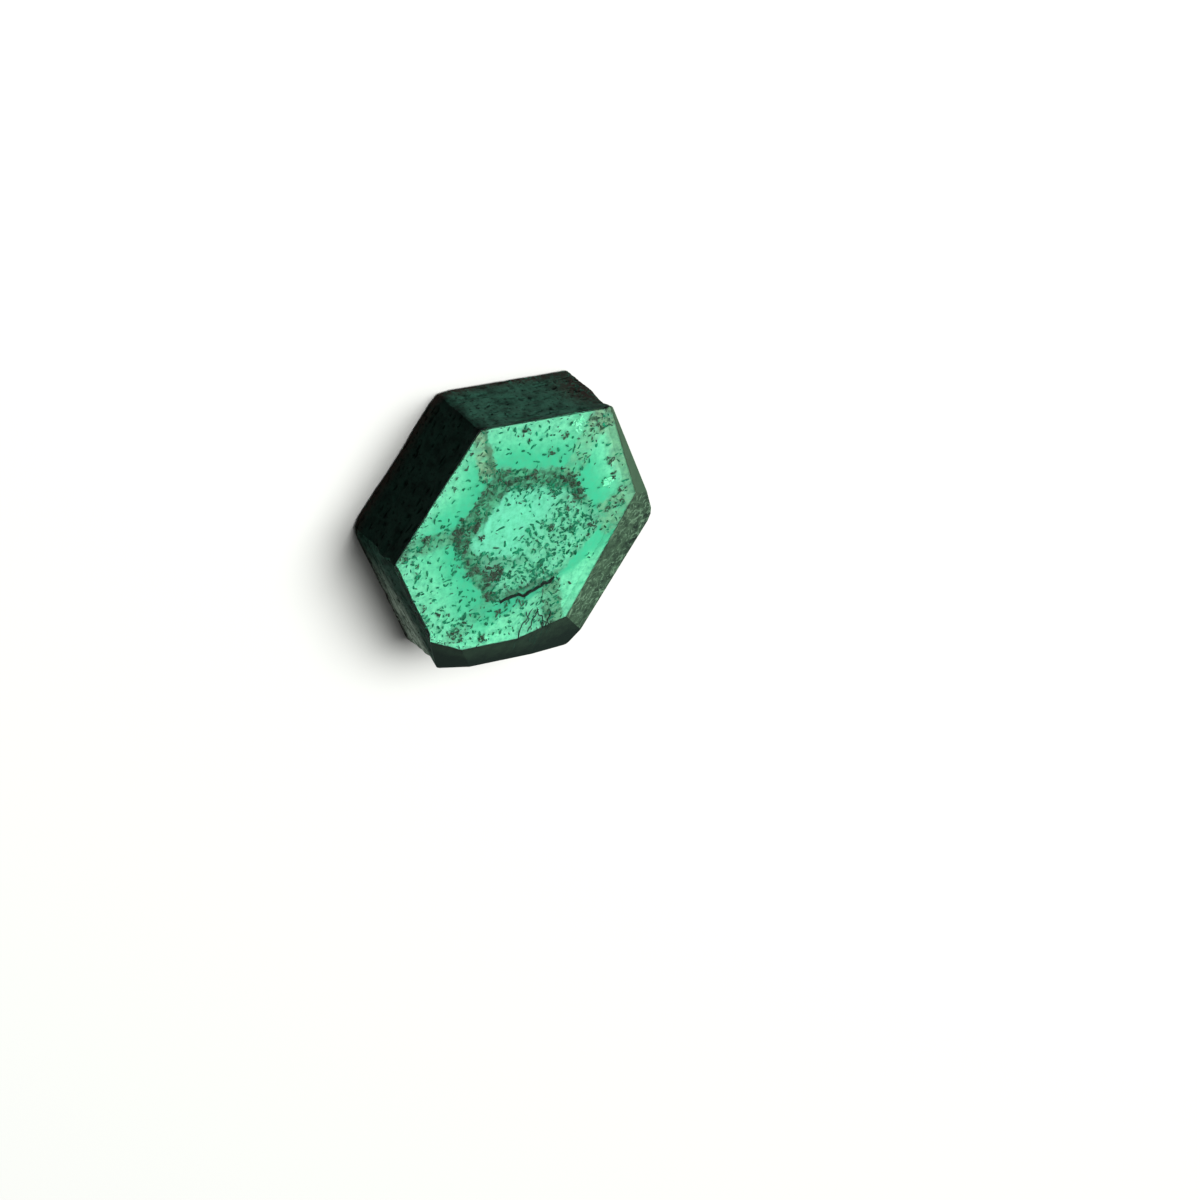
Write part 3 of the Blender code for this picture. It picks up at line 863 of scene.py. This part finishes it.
# %% The crack and the hairlines
CRACK = ((-0.59, -1.59), (-0.39, -1.50), (-0.12, -1.46), (0.10, -1.52), (0.29, -1.43), (0.52, -1.33), (0.74, -1.26),
         (0.93, -1.13))
HAIRLINES = (((0.52, -1.90), (0.62, -2.09), (0.80, -2.34), (0.83, -2.62), (0.82, -2.85)),
             ((0.40, -1.95), (0.27, -2.24), (0.13, -2.46), (0.10, -2.65), (0.07, -2.80), (0.12, -3.20)),
             ((1.03, -2.40), (1.02, -2.62), (1.00, -2.82)),
             ((0.62, -2.50), (0.70, -2.75), (0.66, -3.05)),
             ((0.80, -2.34), (0.90, -2.44), (0.84, -2.56), (0.74, -2.48), (0.78, -2.37)),
             ((0.55, -2.72), (0.50, -2.86), (0.56, -3.02)),
             ((0.72, -2.86), (0.80, -3.00), (0.76, -3.15)),
             ((0.60, -1.98), (0.50, -2.20), (0.46, -2.42), (0.36, -2.60)),
             ((0.93, -2.02), (0.98, -2.22), (0.92, -2.40), (0.96, -2.62)),
             ((0.22, -2.02), (0.33, -2.22), (0.28, -2.38)))
cracks = bmesh.new()
add_ribbon(cracks, CRACK, 0.055, 0.11, lean=0.03)
for hairline in HAIRLINES:
    add_ribbon(cracks, hairline, 0.036, 0.05, waver=0.06)
bmesh.ops.recalc_face_normals(cracks, faces=cracks.faces[:])
finish_piece("crack_and_hairlines", cracks, fleck_material("open_crack_dark_green", "#06130e", "#0d2a20"))

# %% [markdown]
# ## Feathers with a painted glint
# Two small healed breaks near the far rim catch the light: thin sheets just under the table, whose pale
# mint colour is a painted glint.

# %% Feathers near the rim, with a painted glint
FEATHERS_WITH_PAINTED_GLINT = ((0.95, 3.18, 0.20, 22), (2.12, 1.36, 0.16, 14))
painted_glint_sheets = bmesh.new()
for x, y, radius, count in FEATHERS_WITH_PAINTED_GLINT:
    for _ in range(count):
        spot = under(x, y, 0.03) + unit(rng.uniform(0.0, 360.0)) * radius * math.sqrt(rng.random())
        if is_inside(spot, 0.05):
            put_chip(painted_glint_sheets, spot, surface_height(spot) - rng.uniform(0.02, 0.05), rng.uniform(0.05, 0.10), 0.2)
finish_piece("feathers_with_painted_glint", painted_glint_sheets, fleck_material("healed_feather_with_painted_glint", "#8dffd2", "#b4ffe2"))

# %% Remove the seed shapes
for mesh in seeds:
    bpy.data.meshes.remove(mesh)
